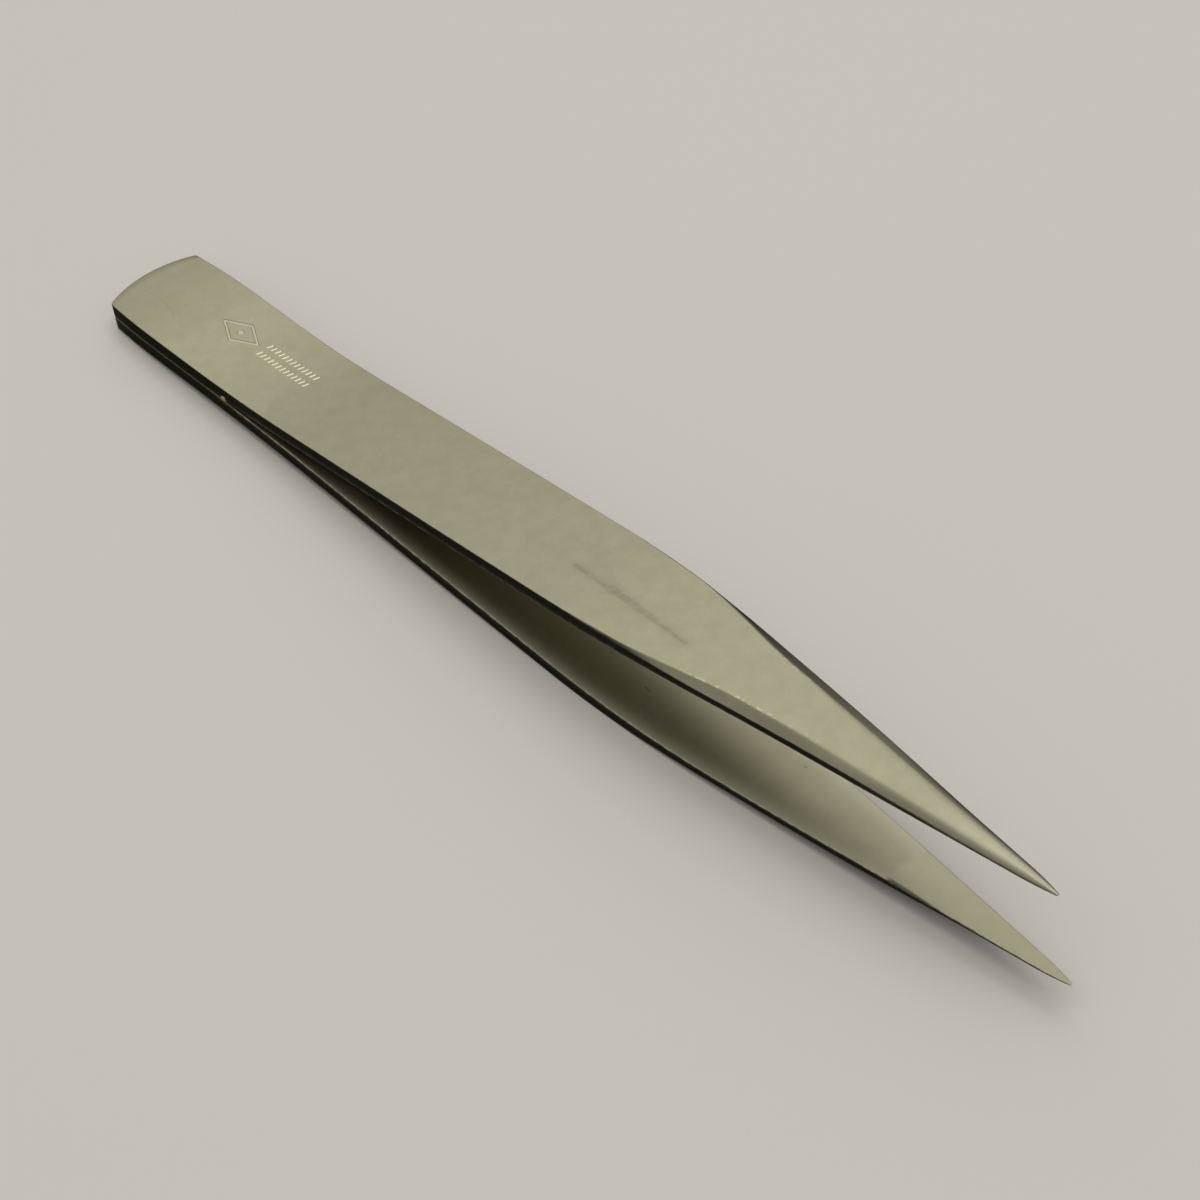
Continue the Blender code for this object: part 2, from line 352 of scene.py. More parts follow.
def outer_height(x, across):
    """Height of the outer surface over the inner face. across runs from 0 to 1 at the edge."""
    full, land = thickness(x), land_height(x)
    bevelled = full + (land - full) * ramp(across, outer_ratio(x), 1.0)
    half_round = land + (full - land) * math.sqrt(max(0.0, 1 - across ** 2))
    swell = ROUNDING * ease(x, ROUNDING_START, ROUNDING_END)
    return bevelled + (half_round - bevelled) * swell


def heel_end(y):
    """How far the rounded heel end lies behind its middle, at a distance y from it."""
    bow = HEEL_END_RADIUS - math.sqrt(HEEL_END_RADIUS ** 2 - y ** 2)
    into_corner = max(0.0, abs(y) - (0.5 * HEEL_WIDTH - HEEL_CORNER_RADIUS))
    into_corner = min(into_corner, HEEL_CORNER_RADIUS)
    corner = HEEL_CORNER_RADIUS - math.sqrt(HEEL_CORNER_RADIUS ** 2 - into_corner ** 2)
    return bow + corner


def ridge_soft(x):
    """How softly the outer face turns into the bevel: the ridge is crisp in its middle only."""
    before = (RIDGE_SOFT_START - RIDGE_CRISP) * (1 - ease(x, RIDGE_START, RIDGE_CRISP_START))
    after = (RIDGE_SOFT_END - RIDGE_CRISP) * ease(x, RIDGE_FADE_START, RIDGE_FADE_END)
    return RIDGE_CRISP + before + after


# ---------------------------------------------------------------------------------------
# The tool frame
# ---------------------------------------------------------------------------------------

def tool_to_row():
    """The tool frame in the row frame, from the mount on the upper heel's outer face."""
    face = next(m for m in frame["record"]["mounts"] if m["name"] == "heel_upper_face")
    up = Vector(face["axis"])
    along = Vector((up.z, 0, -up.x))
    across = up.cross(along)
    turn = Matrix((along, across, up)).transposed().to_4x4()
    mount = Vector((MOUNT_X, 0, rise(MOUNT_X) + SEAM / 2 + HEEL_THICKNESS)) * MM
    return Matrix.Translation(Vector(face["pos_m"]) - turn @ mount) @ turn


TOOL = tool_to_row()
TOOL_MM = TOOL @ Matrix.Scale(MM, 4)


# ---------------------------------------------------------------------------------------
# Sections and meshes
# ---------------------------------------------------------------------------------------

def around_corner(corner, soft, before, after):
    """Places along the section close to a corner. before and after are its two runs' lengths."""
    reach = CORNER_ROOM * CORNER_STEPS[-1]
    near, far = min(soft, before / reach), min(soft, after / reach)
    return ([corner - step * near for step in reversed(CORNER_STEPS)] + [corner]
            + [corner + step * far for step in CORNER_STEPS])


def sharp_outline(x):
    """Half an arm's section with sharp corners, led in and out a little past the middle.

    Returns its (y, height) points, how far along it each is from the inner face's middle, and
    the same measure for the inner edge, the land's top edge, the ridge and the outer middle.
    """
    half, ridge = half_width(x), outer_ratio(x)
    turns = np.linspace(0, math.pi / 2, OUTLINE_POINTS)
    across = sorted({ridge, *np.cos(turns).tolist()}, reverse=True)
    outer = [(half * u, outer_height(x, u)) for u in across]
    beyond = (-outer[-3][0], outer[-3][1])
    line = np.array([(-half, 0.0), (half, 0.0), (half, land_height(x))] + outer[1:] + [beyond])
    runs = np.hypot(*np.diff(line, axis=0).T)
    along = np.concatenate(([0.0], np.cumsum(runs))) - half
    return line, along, (along[1], along[2], along[2 + across.index(ridge)], along[-2])


def half_section(x):
    """Half an arm's section as (y, height) rows, from the inner face's middle to the outer's.

    The sharp outline is averaged over a short run at each point, which rounds its corners.
    """
    half, land = half_width(x), land_height(x)
    line, along, (edge, top_edge, crest, end) = sharp_outline(x)
    slope = crest - top_edge
    ridge_reach = max(EDGE_SOFT, min(ridge_soft(x), BEVEL_SOFT_LIMIT * slope))
    lead = edge - CORNER_STEPS[-1] * EDGE_SOFT
    tail = end - crest - CORNER_STEPS[-1] * ridge_reach
    spots = [lead * step for step in FLAT_STEPS]
    spots += around_corner(edge, EDGE_SOFT, half, land)
    spots += [0.5 * (edge + top_edge)]
    spots += around_corner(top_edge, EDGE_SOFT, land, slope)
    spots += [top_edge + slope * share for share in BEVEL_STEPS]
    spots += around_corner(crest, ridge_reach, slope, end - crest)
    spots += [end - tail * step for step in reversed(FLAT_STEPS)]
    spots = np.sort(np.array(spots))
    soft = np.interp(spots, (top_edge, crest), (EDGE_SOFT, ridge_reach))
    soft = np.minimum(soft, SOFT_LIMIT * half)
    window = np.linspace(-1, 1, WINDOW_POINTS)[:, None] * soft
    rounded = [np.interp(spots + window, along, line[:, i]).mean(axis=0) for i in (0, 1)]
    rounded[0][0] = rounded[0][-1] = 0.0
    return np.column_stack(rounded)


def section_ring(x, trim, scale):
    """The whole section as a ring of (y, height), trimmed all round or scaled about its middle."""
    half = half_section(x)
    middle = thickness(x) / 2
    wide = scale * (1 - trim / half_width(x))
    high = scale * (1 - trim / middle)
    half = half * (wide, high) + (0.0, middle * (1 - high))
    mirrored = half[-2:0:-1] * (-1, 1)
    return np.vstack((half, mirrored))


def arm_stops():
    """Where an arm's rings stand, as (x, trim, scale), with both ends rounded off."""
    stops = []
    for i in range(END_STEPS):
        turn = 0.5 * math.pi * (1 - i / END_STEPS)
        stops.append((HEEL_END_SOFT * (1 - math.sin(turn)),
                      HEEL_END_SOFT * (1 - math.cos(turn)), 1.0))
    x = HEEL_END_SOFT
    while x < LENGTH - TIP_END_SOFT:
        stops.append((x, 0.0, 1.0))
        x += next(step for start, step in reversed(STATION_STEPS) if x >= start)
    for i in range(END_STEPS + 1):
        turn = TIP_END_TURN * i / END_STEPS
        stops.append((LENGTH - TIP_END_SOFT * (1 - math.sin(turn)), 0.0, math.cos(turn)))
    return stops


def arm_rings(side):
    """The rings of points along an arm in the tool frame. side is 1 for the upper arm."""
    rings = []
    for x, trim, scale in arm_stops():
        bow = 1 - ramp(x, 0.0, HEEL_BOW_FADE)
        base = half_gap(x)
        ring = []
        for y, high in section_ring(x, trim, scale).tolist():
            there = x + bow * heel_end(y) if bow else x
            ring.append(Vector((there, y, side * (base + high) + rise(there))))
        rings.append(ring)
    return rings


def cap(bm, ring):
    """Closes an end with upright triangles between the ring's lower and upper points."""
    count = len(ring)
    right = max(range(count), key=lambda i: ring[i].co.y)
    left = min(range(count), key=lambda i: ring[i].co.y)
    first = [ring[(left + i) % count] for i in range((right - left) % count + 1)]
    second = [ring[(left - i) % count] for i in range((left - right) % count + 1)]
    i = j = 0
    while i < len(first) - 1 or j < len(second) - 1:
        step_first = j == len(second) - 1 or (
            i < len(first) - 1 and first[i + 1].co.y <= second[j + 1].co.y)
        fresh = first[i + 1] if step_first else second[j + 1]
        corners = [first[i], fresh, second[j]]
        if len({v.index for v in corners}) == 3:
            bm.faces.new(corners)
        i, j = (i + 1, j) if step_first else (i, j + 1)


def bridge(bm, row, after):
    """Joins two rings of mesh points with a band of faces."""
    for i in range(len(row)):
        j = (i + 1) % len(row)
        bm.faces.new((row[i], row[j], after[j], after[i]))


def as_object(name, bm):
    """Turns a mesh under construction into an object of the scene."""
    mesh = bpy.data.meshes.new(name)
    bm.to_mesh(mesh)
    bm.free()
    made = bpy.data.objects.new(name, mesh)
    bpy.context.scene.collection.objects.link(made)
    return made


def lofted(name, rings):
    """A closed object through rings of points of the tool frame."""
    bm = bmesh.new()
    rows = [[bm.verts.new(p) for p in ring] for ring in rings]
    bm.verts.index_update()
    for row, after in zip(rows, rows[1:]):
        bridge(bm, row, after)
    cap(bm, rows[0])
    cap(bm, rows[-1])
    bmesh.ops.recalc_face_normals(bm, faces=bm.faces)
    bm.transform(TOOL_MM)
    return as_object(name, bm)


def apply_boolean(piece, other, operation):
    """Cuts or joins other into piece, and removes other."""
    modifier = piece.modifiers.new("boolean", "BOOLEAN")
    modifier.operation = operation
    modifier.solver = "EXACT"
    modifier.object = other
    evaluated = piece.evaluated_get(bpy.context.evaluated_depsgraph_get())
    mesh = bpy.data.meshes.new_from_object(evaluated)
    piece.modifiers.clear()
    old = piece.data
    piece.data = mesh
    mesh.name = piece.name
    bpy.data.meshes.remove(old)
    bpy.data.objects.remove(other)


# ---------------------------------------------------------------------------------------
# The stamped mark
# ---------------------------------------------------------------------------------------

def cutter_point(x, y, height):
    """A point at a height over the upper arm's outer face."""
    return Vector((x, y, rise(x) + half_gap(x) + thickness(x) + height))


def cut_closed(bm, outline, width, depth):
    """A flat-bottomed groove along a closed outline, given as a function of its offset."""
    half, flat = 0.5 * width, 0.5 * STROKE_FLAT * width
    spread = half + (half - flat) * CUTTER_RISE / depth
    profile = ((spread, CUTTER_RISE), (flat, -depth), (-flat, -depth), (-spread, CUTTER_RISE))
    rows = [[bm.verts.new(cutter_point(x, y, height)) for x, y in outline(offset)]
            for offset, height in profile]
    for row, after in zip(rows, rows[1:] + rows[:1]):
        bridge(bm, row, after)


def lozenge(offset):
    """The lozenge's corners, with its sides moved outwards by offset."""
    long, wide = LOZENGE_HALF_LENGTH, LOZENGE_HALF_WIDTH
    grown = 1 + offset * math.hypot(long, wide) / (long * wide)
    return [(LOZENGE_X + grown * long * u, MARK_Y + grown * wide * v)
            for u, v in ((1, 0), (0, 1), (-1, 0), (0, -1))]


def cut_tick(bm, x, y):
    """A short V groove that slants across the arm."""
    spread = 0.5 * TICK_WIDTH * (1 + CUTTER_RISE / TICK_DEPTH)
    lean = Vector((TICK_SLANT, TICK_LENGTH, 0)) / 2
    side = Vector((spread, 0, 0))
    middle = Vector((x, y, 0))
    top = []
    for end, edge in ((-1, -1), (-1, 1), (1, 1), (1, -1)):
        flat = middle + end * TICK_TOP * lean + edge * side
        top.append(bm.verts.new(cutter_point(flat.x, flat.y, CUTTER_RISE)))
    low, high = [bm.verts.new(cutter_point(keel.x, keel.y, -TICK_DEPTH))
                 for keel in (middle - TICK_KEEL * lean, middle + TICK_KEEL * lean)]
    bm.faces.new(top)
    bm.faces.new((top[1], top[0], low))
    bm.faces.new((top[3], top[2], high))
    bm.faces.new((top[2], top[1], low, high))
    bm.faces.new((top[0], top[3], high, low))


def cut_dot(bm):
    """A round flat-bottomed pit in the lozenge's middle."""
    turns = [2 * math.pi * i / DOT_POINTS for i in range(DOT_POINTS)]
    rims = []
    for radius, height in ((DOT_RADIUS + CUTTER_RISE, CUTTER_RISE),
                           (DOT_FLAT * DOT_RADIUS, -STROKE_DEPTH)):
        rims.append([bm.verts.new(cutter_point(LOZENGE_X + radius * math.cos(a),
                                               MARK_Y + radius * math.sin(a), height))
                     for a in turns])
        bm.faces.new(rims[-1])
    bridge(bm, *rims)


def stamp(arm):
    """Cuts the mark into the arm's outer face."""
    bm = bmesh.new()
    cut_closed(bm, lozenge, STROKE_WIDTH, STROKE_DEPTH)
    cut_dot(bm)
    for row in TICK_ROWS:
        for i in range(TICK_COUNT):
            cut_tick(bm, TICK_FIRST_X + i * TICK_PITCH, MARK_Y + row)
    bmesh.ops.recalc_face_normals(bm, faces=bm.faces)
    bm.transform(TOOL_MM)
    apply_boolean(arm, as_object("mark_cutter", bm), "DIFFERENCE")


# ---------------------------------------------------------------------------------------
# What the materials read from a mesh
# ---------------------------------------------------------------------------------------

def note_places(piece):
    """Writes each point's place in the tool frame, in millimetres, and returns the places."""
    to_tool = TOOL_MM.inverted()
    spots = [to_tool @ vertex.co for vertex in piece.data.vertices]
    noted = piece.data.attributes.new("tool_mm", "FLOAT_VECTOR", "POINT")
    noted.data.foreach_set("vector", [value for spot in spots for value in spot])
    return spots


def faces_at(spot, side):
    """How much a point belongs to each part of its arm: each value runs from 0 to 1."""
    x, out = max(0.0, spot.x), abs(spot.y)
    half, full, land = half_width(x), thickness(x), land_height(x)
    high = side * (spot.z - rise(x)) - half_gap(x)
    crest = outer_ratio(x) * half
    inner_edge, top_edge, ridge = [
        math.exp(-math.hypot(out - a, high - b) ** 2 / GLINT_WIDTH ** 2)
        for a, b in ((half, 0.0), (half, land), (crest, full))]
    bow = 1 - ramp(x, 0.0, HEEL_BOW_FADE)
    behind = x - bow * heel_end(min(out, HEEL_END_REACH))
    ended = 1 - ramp(behind, *END_BLUR) if bow else 0.0
    upright = 1 - ramp(half - out, *SIDE_BLUR)
    upright *= 1 - ramp(high, land + LAND_BLUR[0], land + LAND_BLUR[1])
    bevel = ramp(out, crest, half) * ramp(high, land - BEVEL_BLUR, land) * ramp(x, *BEVEL_SEEN)
    stamped = side > 0 and x < MARK_END and out < MARK_REACH * half and high > full / 2
    return {"side": max(upright, ended),
            "edge": max(inner_edge, TOP_EDGE_GLINT * top_edge),
            "ridge": ridge * ramp(x, *RIDGE_GLINT_FROM) * (1 - ramp(x, *RIDGE_GLINT_TO)),
            "bevel": bevel,
            "inner": 1 - ramp(high, *INNER_BLUR),
            "rim": 1 - ease(half - out, 0.0, RIM_WIDTH),
            "cut": ramp(full - high, *CUT_BLUR) if stamped else 0.0}


def note_faces(arm, side):
    """Writes for each point of an arm where it is, and how much it belongs to each part."""
    rows = [faces_at(spot, side) for spot in note_places(arm)]
    for name in rows[0]:
        noted = arm.data.attributes.new(name, "FLOAT", "POINT")
        noted.data.foreach_set("value", [row[name] for row in rows])


# ---------------------------------------------------------------------------------------
# Materials
# ---------------------------------------------------------------------------------------

class Graph:
    """A material's node tree, written as calls that return sockets."""

    def __init__(self, name):
        self.material = bpy.data.materials.new(name)
        self.material.use_nodes = True
        self.tree = self.material.node_tree
        self.shader = self.tree.nodes["Principled BSDF"]

    def put(self, socket, value):
        """Links a socket to another one, or sets it to a constant."""
        if isinstance(value, bpy.types.NodeSocket):
            self.tree.links.new(value, socket)
        else:
            socket.default_value = value

    def finish(self, **inputs):
        """Sets the shader's inputs, which are named with _ for a space."""
        for name, value in inputs.items():
            self.put(self.shader.inputs[name.replace("_", " ")], value)
        return self.material

    def node(self, kind, inputs, output=0, **settings):
        """A new node's output, with the node's inputs given by name or number."""
        made = self.tree.nodes.new(kind)
        for key, value in settings.items():
            setattr(made, key, value)
        for key, value in inputs.items():
            self.put(made.inputs[key], value)
        return made.outputs[output]

    def math(self, operation, a, b=0.0, c=0.0):
        return self.node("ShaderNodeMath", {0: a, 1: b, 2: c}, operation=operation)

    def product(self, value, *others):
        for other in others:
            value = self.math("MULTIPLY", value, other)
        return value

    def rest(self, value):
        """What is left of 1."""
        return self.math("SUBTRACT", 1.0, value)

    def ease(self, value, low, high, to_low=0.0, to_high=1.0):
        """Maps low to high onto to_low to to_high, with soft ends."""
        return self.node("ShaderNodeMapRange", {0: value, 1: low, 2: high, 3: to_low, 4: to_high},
                         interpolation_type="SMOOTHSTEP")

    def attribute(self, name, output="Fac"):
        return self.node("ShaderNodeAttribute", {}, output, attribute_name=name)

    def parts(self, vector):
        """The three components of a vector."""
        made = self.tree.nodes.new("ShaderNodeSeparateXYZ")
        self.put(made.inputs[0], vector)
        return list(made.outputs)

    def noise(self, vector, scale, detail, roughness, stretch=(1, 1, 1), offset=(0, 0, 0)):
        moved = self.node("ShaderNodeMapping",
                          {"Vector": vector, "Scale": stretch, "Location": offset})
        return self.node("ShaderNodeTexNoise", {"Vector": moved, "Scale": scale,
                                                "Detail": detail, "Roughness": roughness})

    def bump(self, height, strength, distance):
        return self.node("ShaderNodeBump",
                         {"Height": height, "Strength": strength, "Distance": distance})

    def mix_colour(self, share, a, b):
        return self.node("ShaderNodeMix", {0: share, 6: a, 7: b}, 2, data_type="RGBA")


class SteelGraph(Graph):
    """The satin steel's node tree. From lay_base on, each method lays a part of the finish, painted
    light and shade among them.
    """

    def __init__(self):
        super().__init__("satin_steel")
        spot = self.attribute("tool_mm", "Vector")
        self.x, self.y, self.z = self.parts(spot)
        self.side, self.edge, self.ridge, self.bevel = [
            self.attribute(name) for name in ("side", "edge", "ridge", "bevel")]
        self.inner, self.rim, self.cut = [
            self.attribute(name) for name in ("inner", "rim", "cut")]
        self.outer = self.rest(self.math("MAXIMUM", self.inner, self.side))
        self.left = self.ease(self.y, -HALVES_BLUR, HALVES_BLUR)
        self.right = self.rest(self.left)
        self.needle = self.product(self.ease(self.x, *NEEDLE), self.outer)

        self.grain = self.noise(spot, scale=7.0, detail=3.0, roughness=0.65)
        self.drawn = self.noise(spot, scale=1.0, detail=3.0, roughness=0.6, stretch=(0.5, 9, 9))
        self.mottle = self.noise(spot, scale=0.55, detail=4.0, roughness=0.6)
        self.cloud = self.noise(spot, scale=0.16, detail=2.0, roughness=0.5)
        self.patch_noise = self.noise(spot, scale=1.3, detail=3.0, roughness=0.7)
        self.ridge_noise = self.noise(spot, scale=0.9, detail=3.0, roughness=0.7, offset=(7, 3, 5))

    def tint(self, colour, share, *shares, amount=1.0):
        """Mixes a colour in, by the product of the shares and the amount."""
        share = self.product(share, *shares, amount)
        self.colour = self.mix_colour(share, self.colour, colour)

    def streak(self, start, stop, width):
        """1 on a straight line along an arm's face, fading to 0 at a distance from it."""
        run = (stop[0] - start[0], stop[1] - start[1])
        square = run[0] ** 2 + run[1] ** 2
        dx = self.math("SUBTRACT", self.x, start[0])
        dy = self.math("SUBTRACT", self.y, start[1])
        share = self.math("MULTIPLY_ADD", dy, run[1] / square,
                          self.product(dx, run[0] / square))
        share = self.math("MINIMUM", self.math("MAXIMUM", share, 0.0), 1.0)
        off_x = self.math("MULTIPLY_ADD", share, -run[0], dx)
        off_y = self.math("MULTIPLY_ADD", share, -run[1], dy)
        squares = self.math("MULTIPLY_ADD", off_x, off_x, self.product(off_y, off_y))
        return self.ease(self.math("SQRT", squares), 0.0, width, 1.0, 0.0)

    def lay_base(self):
        """Mottled steel with a duller grain, and painted shade that darkens it towards the heel's
        end.
        """
        self.colour = self.mix_colour(self.ease(self.mottle, *MOTTLE), STEEL_DARK, STEEL_LIGHT)
        self.tint(STEEL_DULL_AND_SHADE, self.ease(self.grain, *GRAIN), amount=0.10)
        # painted shade on the heel's outer faces, darker towards its end
        self.tint(STEEL_DULL_AND_SHADE, self.ease(self.x, *HEEL_SHADE, 1.0, 0.0), self.outer, amount=0.30)

    def paint_bevel_shade_and_crest(self):
        """Painted shade on the bevels: the left one is darker and lightens, the right one darkens;
        the needle's crest gets a painted highlight.
        """
        # painted shade on the bevels
        left = self.product(self.left, self.ease(self.x, *LEFT_BEVEL, to_low=1.0, to_high=0.30))
        right = self.product(self.right, self.ease(self.x, *RIGHT_BEVEL, to_high=0.60))
        self.tint(STEEL_DULL_AND_SHADE, self.math("ADD", left, right),
                  self.ease(self.bevel, *BEVEL_SHADE), self.rest(self.needle))
        # painted highlight on the needle's crest
        self.tint(STEEL_HIGHLIGHT, self.needle,
                  self.ease(self.bevel, *CREST, to_low=0.45, to_high=0.15))

    def grind_inner_face(self):
        """The inner face is dull, has a painted highlight along its edges, is ground flat at the
        tip, and has painted shade in that flat's broken corner.
        """
        uneven = self.math("MULTIPLY_ADD", self.mottle, GROUND_UNEVEN, self.x)
        start, end = [GROUND_START + blur for blur in GROUND_EDGE]
        self.unground = self.product(self.ease(uneven, start, end, 1.0, 0.0), self.inner)
        self.edge_highlight = self.product(self.rim, self.unground, self.ease(self.x, *INNER_HIGHLIGHT))
        self.tint(STEEL_DULL_AND_SHADE, self.inner, amount=0.35)
        # painted highlight along the inner face's edges
        self.tint(STEEL_HIGHLIGHT, self.edge_highlight, amount=0.8)

        # painted shade in the broken right corner at the start of the ground flat
        narrowing = self.ease(self.x, GROUND_START, CORNER_END, to_high=CORNER_NARROWS)
        start, end = [GROUND_START + blur for blur in CORNER_LEAD]
        self.corner = self.product(self.ease(self.math("ADD", self.rim, narrowing), *CORNER_RIM),
                                   self.ease(self.x, start, end), self.inner, self.right)
        self.tint(STEEL_SHADE_AND_MARKS, self.corner, amount=0.8)

    def paint_side_shade_and_glints(self):
        """Painted shade darkens the cut sides, less by the upper arm's needle, and the corners get
        painted glints.
        """
        # painted shade on the cut sides and the heel's end
        lighter = self.product(self.ease(self.x, *SIDE_LIGHTER),
                               self.ease(self.z, -ARMS_BLUR, ARMS_BLUR))
        self.tint(STEEL_SHADE_AND_MARKS, self.side,
                  self.math("MULTIPLY_ADD", lighter, NEEDLE_SIDE_TINT, SIDE_TINT))
        # painted glints along the edges
        self.glint = self.product(self.edge, self.rest(self.corner),
                                  self.ease(self.patch_noise, *GLINT_PATCHES, to_low=0.45, to_high=0.95),
                                  self.ease(self.x, *EDGE_GLINT, to_low=0.2),
                                  self.ease(self.y, -EDGES_BLUR, EDGES_BLUR, 1.0, 0.25))
        self.tint(STEEL_HIGHLIGHT, self.glint)
        # painted glints on the ridge
        self.tint(STEEL_HIGHLIGHT, self.ridge,
                  self.ease(self.ridge_noise, *RIDGE_PATCHES, to_low=0.05, to_high=0.95))

    def mark_use_and_cut_highlight(self):
        """A stain, a scratch and small marks on the faces, and a painted highlight in the stamped
        mark's cuts.
        """
        halo = line = 0.0
        for ends in SMUDGE:
            halo = self.math("MAXIMUM", self.streak(*ends, SMUDGE_HALO_WIDTH), halo)
            line = self.math("MAXIMUM", self.streak(*ends, SMUDGE_LINE_WIDTH), line)
        self.tint(STAIN, halo, self.outer, amount=0.10)
        self.tint(STAIN, line, self.outer,
                  self.ease(self.patch_noise, *STAINED, to_low=0.10, to_high=0.30))
        for ends in zip(SCRATCH, SCRATCH[1:]):
            self.tint(STEEL_DULL_AND_SHADE, self.streak(*ends, SCRATCH_WIDTH), self.outer, amount=0.45)
        for ends in INNER_MARKS:
            self.tint(STEEL_SHADE_AND_MARKS, self.streak(*ends, INNER_MARK_WIDTH), self.inner, amount=0.55)
        # painted highlight in the stamped mark's cuts
        self.tint(STEEL_HIGHLIGHT, self.cut, amount=0.75)

    def roughness(self):
        """The satin's own roughness, with what each texture and part of an arm adds to it."""
        rough = SATIN_ROUGHNESS
        for added, amount in ((self.grain, 0.08), (self.cloud, 0.08), (self.unground, 0.08),
                              (self.edge_highlight, 0.20), (self.needle, 0.10), (self.edge, 0.14),
                              (self.side, 0.05), (self.cut, 0.10)):
            rough = self.math("MULTIPLY_ADD", added, amount, rough)
        return rough


def satin_steel():
    """Bare spring steel with a fine satin grain, with painted shade on its cut sides, bevels and
    heel, and painted highlights on its edges.
    """
    g = SteelGraph()
    g.lay_base()
    g.paint_bevel_shade_and_crest()
    g.grind_inner_face()
    g.paint_side_shade_and_glints()
    g.mark_use_and_cut_highlight()
    height = g.math("MULTIPLY_ADD", g.drawn, 0.5, g.grain)
    return g.finish(Base_Color=g.colour, Roughness=g.roughness(),
                    Metallic=g.rest(g.product(g.glint, GLINT_WHITE)),
                    Normal=g.bump(height, strength=0.4, distance=0.004 * MM))


def braze_metal():
    """Filler metal as it set: smooth, brassy and a little dull in places."""
    g = Graph("braze_metal")
    cloud = g.noise(g.attribute("tool_mm", "Vector"), scale=3.0, detail=3.0, roughness=0.6)
    return g.finish(Base_Color=g.mix_colour(g.ease(cloud, *BRAZE_CLOUD), BRAZE_DARK, BRAZE_LIGHT),
                    Roughness=g.math("MULTIPLY_ADD", cloud, BRAZE_CLOUD_ROUGHNESS, BRAZE_ROUGHNESS),
                    Metallic=0.55, Normal=g.bump(cloud, strength=0.6, distance=0.01 * MM))


def floor_paint():
    """Matt pale paint."""
    return Graph("floor_paint").finish(Base_Color=FLOOR_COLOUR, Roughness=0.9,
                                       Specular_IOR_Level=0.1)


# ---------------------------------------------------------------------------------------
# Pieces
# ---------------------------------------------------------------------------------------

def dress(piece, sharp, material):
    """Smooth shading, with edges above an angle sharp, and a material."""
    piece.data.shade_smooth()
    piece.data.set_sharp_from_angle(angle=math.radians(sharp))
    piece.data.materials.clear()
    piece.data.materials.append(material)


def make_arm(name, side, steel):
    """One arm, which replaces its heel and its blade. side is 1 for the upper arm."""
    arm = lofted(name, arm_rings(side))
    if side > 0:
        stamp(arm)
    note_faces(arm, side)
    dress(arm, ARM_SHARP, steel)
    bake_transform(arm)
    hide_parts(name + "_heel", name + "_blade")


def squared_off(value, power):
    """A sine or cosine drawn out towards 1 or -1."""
    return math.copysign(abs(value) ** power, value)


def braze_rings():
    """Rings across the braze layer, from the heel's end to just past the beads."""
    last = BEAD_X + LAYER_PAST_BEAD
    count = int((last - LAYER_INSET) / LAYER_STEP) + 1
    rings = []
    for x in [LAYER_INSET + LAYER_STEP * i for i in range(count)] + [last]:
        bow = 1 - ramp(x, 0.0, HEEL_BOW_FADE)
        reach = half_width(x) - LAYER_INSET
        ring = []
        for turn in range(LAYER_POINTS):
            angle = 2 * math.pi * turn / LAYER_POINTS
            y = reach * squared_off(math.cos(angle), LAYER_SQUARE[0])
            there = x + bow * heel_end(min(abs(y), HEEL_END_REACH))
            high = squared_off(math.sin(angle), LAYER_SQUARE[1]) * (half_gap(there) - LAYER_GAP)
            ring.append(Vector((there, y, high + rise(there))))
        rings.append(ring)
    return rings


def braze_bead(side):
    """A small drop of braze metal that was squeezed out at one side and set there."""
    bm = bmesh.new()
    bmesh.ops.create_icosphere(bm, subdivisions=BEAD_FINENESS, radius=1.0)
    long, deep, high = BEAD_SIZE
    for vertex in bm.verts:
        x, y, z = vertex.co
        swell = (1 + BEAD_LUMPS[0] * math.sin(BEAD_PACE[0] * x + BEAD_PHASE * side)
                 + BEAD_LUMPS[1] * math.cos(BEAD_PACE[1] * z + side))
        slump = side * (BEAD_SLUMP[0] * x * x - BEAD_SLUMP[1] * z)
        vertex.co = Vector((long * x * swell, deep * (y * swell - slump), high * z * swell))
    out = half_width(BEAD_X) - BEAD_SINK
    bm.transform(Matrix.Translation((BEAD_X, side * out, BEAD_RISE + rise(BEAD_X))))
    bm.transform(TOOL_MM)
    return as_object("bead", bm)


def make_braze(metal):
    """The braze layer with its two beads."""
    braze = lofted("braze", braze_rings())
    for side in (-1, 1):
        apply_boolean(braze, braze_bead(side), "UNION")
    note_places(braze)
    dress(braze, BRAZE_SHARP, metal)
    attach(braze, "heel")
    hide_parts("braze_joint")


# ---------------------------------------------------------------------------------------
# The studio
# ---------------------------------------------------------------------------------------

TARGET = Vector((4.13, 0.67, 5.0)) * MM
CAMERA_DISTANCE = 464.5 * MM
CAMERA_AZIMUTH = -31.865
CAMERA_ELEVATION = 42.143
CAMERA_ROLL = -9.645
CAMERA_LENS = 162.0
SENSOR_WIDTH = 36.0
CLIP_START = 0.01

LAMP_COLOUR = (1.0, 0.965, 0.90)
SKY_COLOUR = (1.0, 0.97, 0.92, 1)
SKY_HEIGHTS = (-0.15, 0.55)     # the sky's light grows between these heights of a direction
SKY_STRENGTHS = (0.02, 0.30)
FLOOR_COLOUR = (0.90, 0.885, 0.85, 1)
FLOOR_HALF_SIZE = 3.0


def direction(azimuth, elevation):
    """The unit vector towards an azimuth, counted from +X, and an elevation, in degrees."""
    a, e = math.radians(azimuth), math.radians(elevation)
    return Vector((math.cos(e) * math.cos(a), math.cos(e) * math.sin(a), math.sin(e)))


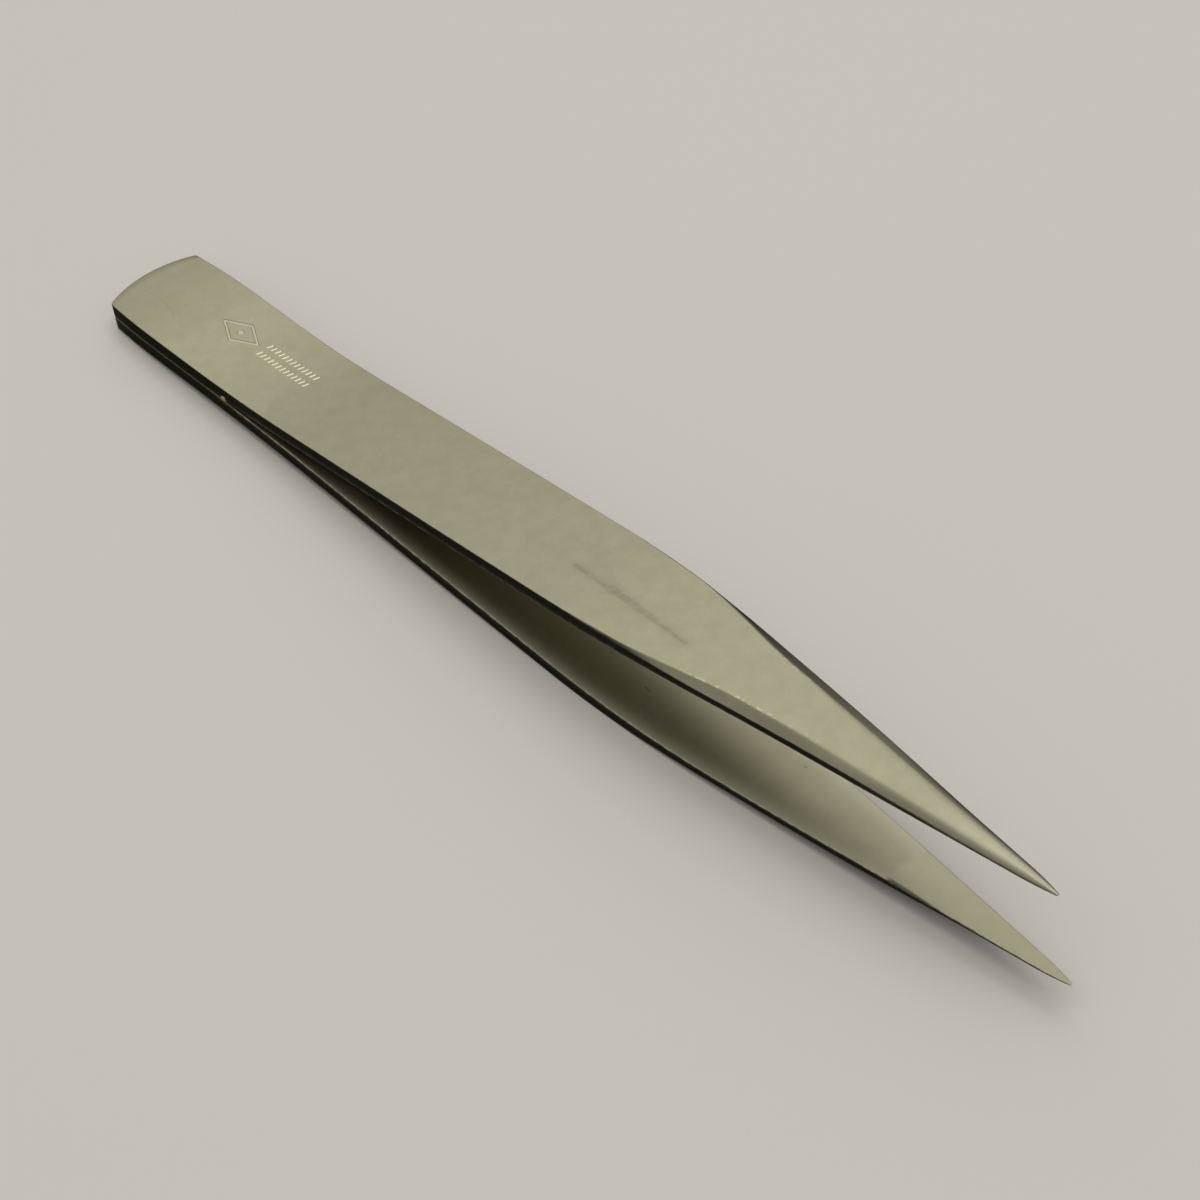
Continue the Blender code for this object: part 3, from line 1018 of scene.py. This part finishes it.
def looking(azimuth, elevation, distance, roll=0.0):
    """The matrix of a camera or light at that place, turned to the target."""
    back = direction(azimuth, elevation)
    turn = back.to_track_quat("Z", "Y").to_matrix().to_4x4()
    return (Matrix.Translation(TARGET + back * distance) @ turn
            @ Matrix.Rotation(math.radians(roll), 4, "Z"))


def make_camera():
    """The camera, with its horizon tipped as it is held."""
    camera = bpy.data.objects.new("camera", bpy.data.cameras.new("camera"))
    camera.data.lens = CAMERA_LENS
    camera.data.sensor_width = SENSOR_WIDTH
    camera.data.clip_start = CLIP_START
    camera.matrix_world = looking(CAMERA_AZIMUTH, CAMERA_ELEVATION, CAMERA_DISTANCE, CAMERA_ROLL)
    bpy.context.scene.collection.objects.link(camera)
    bpy.context.scene.camera = camera


def make_light(name, azimuth, elevation, distance, size, radiance):
    """A soft rectangular light turned to the tool."""
    lamp = bpy.data.lights.new(name, "AREA")
    lamp.shape = "RECTANGLE"
    lamp.size, lamp.size_y = size
    lamp.energy = radiance * math.pi * size[0] * size[1]
    lamp.color = LAMP_COLOUR
    light = bpy.data.objects.new(name, lamp)
    light.matrix_world = looking(azimuth, elevation, distance)
    bpy.context.scene.collection.objects.link(light)
    return light


def make_world():
    """A dim studio: softly lit above the horizon and dark below it."""
    world = bpy.data.worlds.new("studio")
    world.use_nodes = True
    tree = world.node_tree
    background = tree.nodes["Background"]
    way = tree.nodes.new("ShaderNodeTexCoord")
    split = tree.nodes.new("ShaderNodeSeparateXYZ")
    height = tree.nodes.new("ShaderNodeMapRange")
    tree.links.new(way.outputs["Generated"], split.inputs[0])
    tree.links.new(split.outputs["Z"], height.inputs["Value"])
    for socket, value in zip(height.inputs[1:5], SKY_HEIGHTS + SKY_STRENGTHS):
        socket.default_value = value
    tree.links.new(height.outputs[0], background.inputs["Strength"])
    background.inputs["Color"].default_value = SKY_COLOUR
    bpy.context.scene.world = world


def make_floor():
    """A plain pale floor under the tool, which the steel doesn't mirror."""
    bm = bmesh.new()
    bmesh.ops.create_grid(bm, x_segments=1, y_segments=1, size=FLOOR_HALF_SIZE)
    floor = as_object("floor", bm)
    floor.data.materials.append(floor_paint())
    floor.visible_glossy = False


def make_studio():
    """Floor, light and camera."""
    bpy.context.scene.view_settings.view_transform = "Standard"
    make_floor()
    make_world()
    make_light("softbox", azimuth=150.0, elevation=44.5, distance=0.60,
               size=(0.55, 0.46), radiance=0.458)
    make_light("overhead", azimuth=60.0, elevation=80.0, distance=0.70,
               size=(0.50, 0.50), radiance=1.3)
    fill = make_light("fill", azimuth=-60.0, elevation=70.0, distance=0.90,
                      size=(0.60, 0.60), radiance=1.0)
    fill.visible_glossy = False
    make_camera()


finish = satin_steel()
make_arm("upper_arm", 1, finish)
make_arm("lower_arm", -1, finish)
make_braze(braze_metal())
make_studio()
